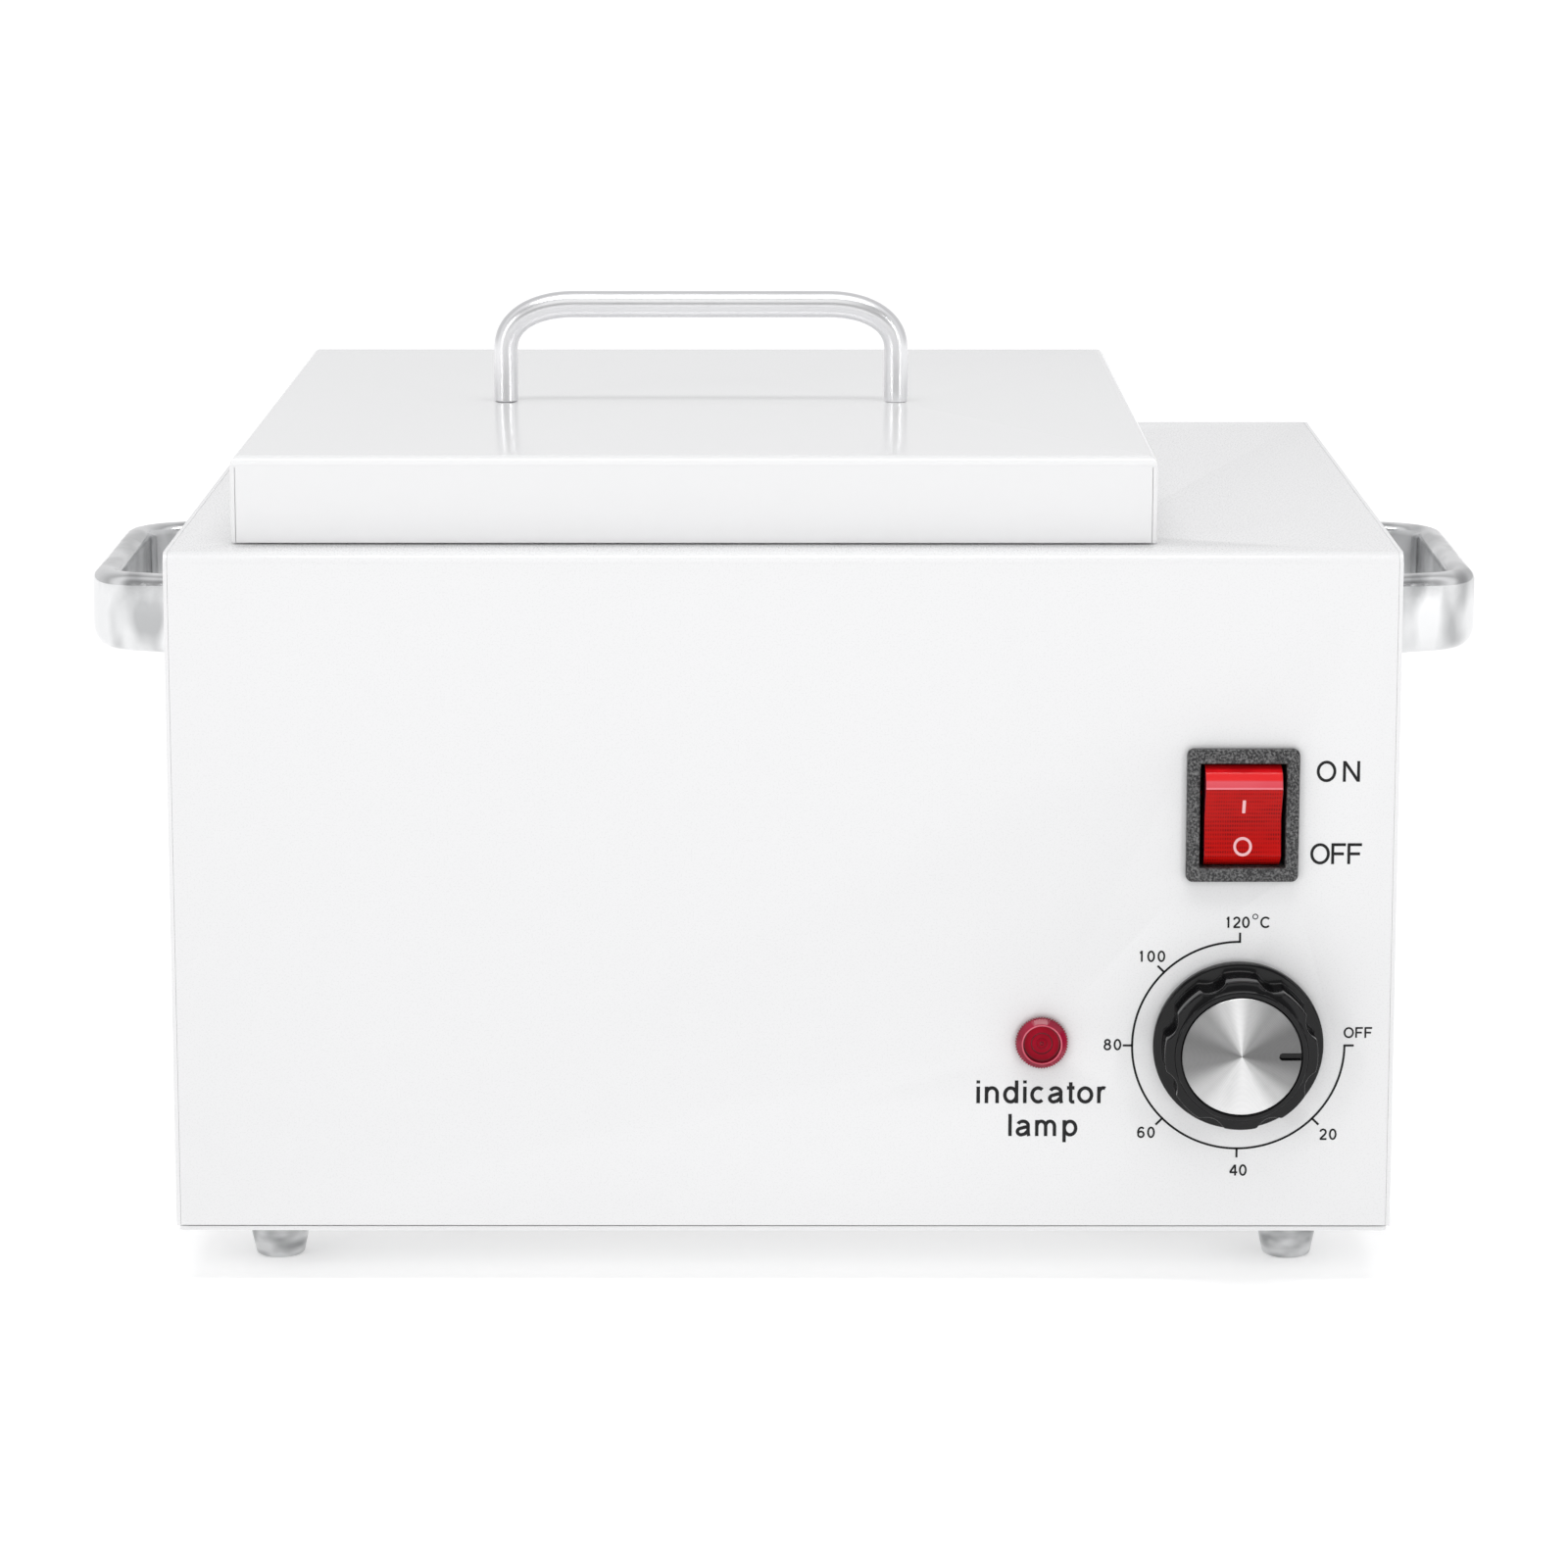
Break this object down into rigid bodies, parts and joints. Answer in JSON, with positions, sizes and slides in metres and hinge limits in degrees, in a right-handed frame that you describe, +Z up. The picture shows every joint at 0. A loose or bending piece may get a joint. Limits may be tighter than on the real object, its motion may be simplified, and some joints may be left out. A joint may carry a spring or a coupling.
{
  "type": "dry block heater",
  "caption": "Bench dry block heater: folded white casing with lift-off lid over a heated tube block, dial thermostat, rocker switch, indicator lamp and carry handles.",
  "frame": {"origin": "on the bench, under the middle of the bounding box", "axes": "+Z up, +X to the right of someone facing the control panel, +Y from the control panel to the back"},
  "size_m": [0.336, 0.2556, 0.2185],
  "materials": {
    "white_powder_coat": "gloss",
    "lid_powder_coat": "gloss",
    "chrome": "polished",
    "stainless": "satin",
    "zinc_plated_steel": "satin",
    "block_aluminium": "satin",
    "cap_aluminium": "satin",
    "insulation": "matte",
    "mica": "matte",
    "steatite": "matte",
    "black_phenolic": "gloss",
    "black_textured_plastic": "matte",
    "dark_plastic": "satin",
    "terminal_plastic": "satin",
    "red_translucent_plastic": "gloss",
    "crimson_translucent_plastic": "gloss",
    "neon_glass": "gloss",
    "brass": "satin",
    "copper": "satin",
    "wire_brown": "satin",
    "wire_blue": "satin",
    "wire_green_yellow": "satin",
    "wire_red": "satin",
    "wire_black": "satin"
  },
  "bodies": {
    "housing": {"base_plate": "white_powder_coat", "block_standoff_front_left": "steatite", "block_standoff_front_right": "steatite", "block_standoff_rear_left": "steatite", "block_standoff_rear_right": "steatite", "casing_shell": "white_powder_coat", "foot_front_left": "chrome", "foot_front_right": "chrome", "foot_rear_left": "chrome", "foot_rear_right": "chrome", "foot_screw_front_left": "zinc_plated_steel", "foot_screw_front_right": "zinc_plated_steel", "foot_screw_rear_left": "zinc_plated_steel", "foot_screw_rear_right": "zinc_plated_steel", "heater_clamp_plate": "zinc_plated_steel", "heater_plate": "mica", "heating_block": "block_aluminium", "indicator_base": "dark_plastic", "indicator_bulb": "neon_glass", "indicator_lens": "crimson_translucent_plastic", "indicator_nut": "dark_plastic", "inlet_body": "black_textured_plastic", "inlet_pin_earth": "brass", "inlet_pin_live": "brass", "inlet_pin_neutral": "brass", "inlet_screw_left": "zinc_plated_steel", "inlet_screw_right": "zinc_plated_steel", "insulation_jacket": "insulation", "left_carry_handle": "chrome", "left_carry_handle_screw_front": "zinc_plated_steel", "left_carry_handle_screw_rear": "zinc_plated_steel", "left_side_panel": "white_powder_coat", "right_carry_handle": "chrome", "right_carry_handle_screw_front": "zinc_plated_steel", "right_carry_handle_screw_rear": "zinc_plated_steel", "right_side_panel": "white_powder_coat", "sensor_bulb_and_capillary": "copper", "switch_housing": "black_textured_plastic", "terminal_block": "terminal_plastic", "thermal_cutout": "dark_plastic", "thermostat_body": "dark_plastic", "thermostat_screw_left": "zinc_plated_steel", "thermostat_screw_right": "zinc_plated_steel", "well_collar": "stainless", "wire_earth": "wire_green_yellow", "wire_heater_live": "wire_red", "wire_heater_neutral": "wire_blue", "wire_lamp": "wire_black", "wire_live": "wire_brown", "wire_neutral": "wire_blue", "wire_switched": "wire_brown"},
    "lid": {"lid_shell": "lid_powder_coat", "lid_handle": "chrome", "lid_handle_screw_left": "zinc_plated_steel", "lid_handle_screw_right": "zinc_plated_steel"},
    "knob": {"knob_body": "black_phenolic", "knob_cap": "cap_aluminium", "thermostat_shaft": "brass"},
    "rocker": {"switch_rocker": "red_translucent_plastic"},
    "contact": {"switch_contact_blade": "copper"}
  },
  "joints": [
    {"name": "lid_lift", "type": "slide", "parent": "housing", "child": "lid", "axis": [0, 0, 1], "range_m": [0, 0.16]},
    {"name": "knob_turn", "type": "hinge", "parent": "housing", "child": "knob", "pos_m": [0.1046, -0.1206, 0.0572], "axis": [0, 1, 0], "range_deg": [0, 270]},
    {"name": "rocker_tilt", "type": "hinge", "parent": "housing", "child": "rocker", "pos_m": [0.1049, -0.1116, 0.1109], "axis": [-1, 0, 0], "range_deg": [0, 22]},
    {"name": "contact_tilt", "type": "hinge", "parent": "housing", "child": "contact", "pos_m": [0.1049, -0.0982, 0.1109], "axis": [1, 0, 0], "range_deg": [0, 14]}
  ],
  "couplings": [
    {"joint": "contact_tilt", "follows": "rocker_tilt", "ratio": 0.63636}
  ]
}
